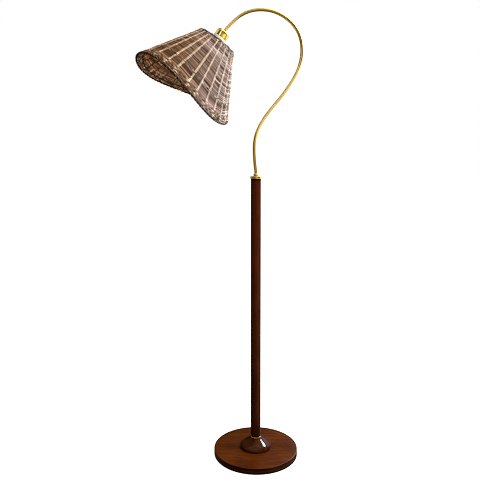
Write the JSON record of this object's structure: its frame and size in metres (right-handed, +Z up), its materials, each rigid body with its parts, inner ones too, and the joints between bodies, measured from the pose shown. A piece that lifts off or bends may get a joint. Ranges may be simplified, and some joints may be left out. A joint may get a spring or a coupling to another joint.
{
  "type": "floor lamp",
  "caption": "Floor lamp: weighted round wooden base, turned wooden pole, brass arm bent into a hook that swivels on the pole, woven rattan shade with a waved rim.",
  "frame": {"origin": "centre of the underside of the base, on the floor", "axes": "+Z up along the pole; the arm lies in the plane Y = 0 at rest and carries the shade towards -X; +Y is the back, with the cable entry"},
  "size_m": [0.5496, 0.3732, 1.5007],
  "materials": {
    "wood_base": "glossy red-brown lacquer over fine grain",
    "wood_pole": "glossy dark red-brown lacquer, grain along the pole",
    "brass": "polished, lacquered",
    "rattan": "peeled rattan core, grey-brown, woven",
    "rattan_dark": "rattan core, darker brown, braided",
    "felt": "pressed felt, matt",
    "iron_painted": "black painted iron",
    "steel": "zinc plated",
    "rubber_black": "satin black",
    "terminal_plastic": "off-white",
    "lead_plastic": "ivory sheath",
    "porcelain": "unglazed white porcelain",
    "silicone_white": "satin, off-white",
    "opal_glass": "opal white, satin",
    "bulb_metal": "plain"
  },
  "bodies": {
    "stand": {"base_pad": "felt", "base_disc": "wood_base", "base_weight": "iron_painted", "weight_screw_1": "steel", "weight_screw_2": "steel", "weight_screw_3": "steel", "cable_bush": "rubber_black", "terminal_block": "terminal_plastic", "base_bun": "wood_base", "bun_ring": "brass", "pole": "wood_pole", "tie_rod": "steel", "tie_washer": "steel", "tie_nut": "steel", "pole_cap": "brass", "cap_set_screw": "steel", "lead_lower": "lead_plastic"},
    "arm": {"swivel_collar": "brass", "arm_tube": "brass", "lead_upper": "lead_plastic", "holder_cap": "brass", "holder_lock_nut": "steel", "holder_shell": "brass", "holder_gasket": "silicone_white", "holder_insert": "porcelain", "terminal_screw_1": "brass", "terminal_screw_2": "brass", "screw_shell": "brass", "centre_contact": "brass", "shade_clamp_ring": "brass", "bulb_glass": "opal_glass", "bulb_cap": "bulb_metal", "bulb_insulator": "rubber_black", "bulb_contact": "bulb_metal"},
    "shade": {"shade_carrier": "brass", "shade_skin": "rattan", "shade_border": "rattan_dark", "rim_braid": "rattan_dark", "rim_wire": "iron_painted"}
  },
  "joints": [
    {"name": "arm_swivel", "type": "hinge", "parent": "stand", "child": "arm", "pos_m": [0, 0, 0.953], "axis": [0, 0, 1], "range_deg": [-150, 150]},
    {"name": "shade_turn", "type": "hinge", "parent": "arm", "child": "shade", "pos_m": [-0.1253, 0, 1.3967], "axis": [0.5906, 0, 0.807], "continuous": true}
  ]
}
